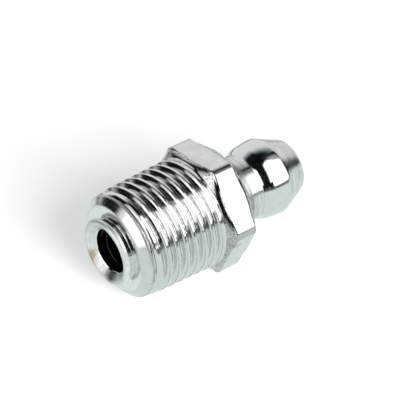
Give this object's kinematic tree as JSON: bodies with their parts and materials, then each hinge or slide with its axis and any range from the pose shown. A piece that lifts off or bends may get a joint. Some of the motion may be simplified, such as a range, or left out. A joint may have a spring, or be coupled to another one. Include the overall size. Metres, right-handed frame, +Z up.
{
  "type": "grease nipple",
  "caption": "Straight grease nipple with a taper thread, hexagon and flared head, holding a ball check valve on a spring.",
  "frame": {"origin": "on the axis, in the plane of the rolled lip at the thread end, where the grease leaves", "axes": "+X along the axis from the thread end to the head, +Z up, square to the top and bottom flats of the hexagon; the nipple lies on the bottom flat"},
  "size_m": [0.0202, 0.0116, 0.0104],
  "materials": {
    "plated_steel": "bright zinc plating, lightly worn",
    "ball_steel": "polished hardened steel",
    "spring_steel": "bare spring wire with a thin film of old grease"
  },
  "bodies": {
    "body": {"body": "plated_steel", "spring": "spring_steel"},
    "ball": {"check_ball": "ball_steel"}
  },
  "joints": [
    {"name": "ball_slide", "type": "slide", "parent": "body", "child": "ball", "axis": [-1, 0, 0], "range_m": [0, 0.0015], "stiffness_N_per_m": 400, "springref_m": -0.002, "deforming": ["spring"]}
  ]
}
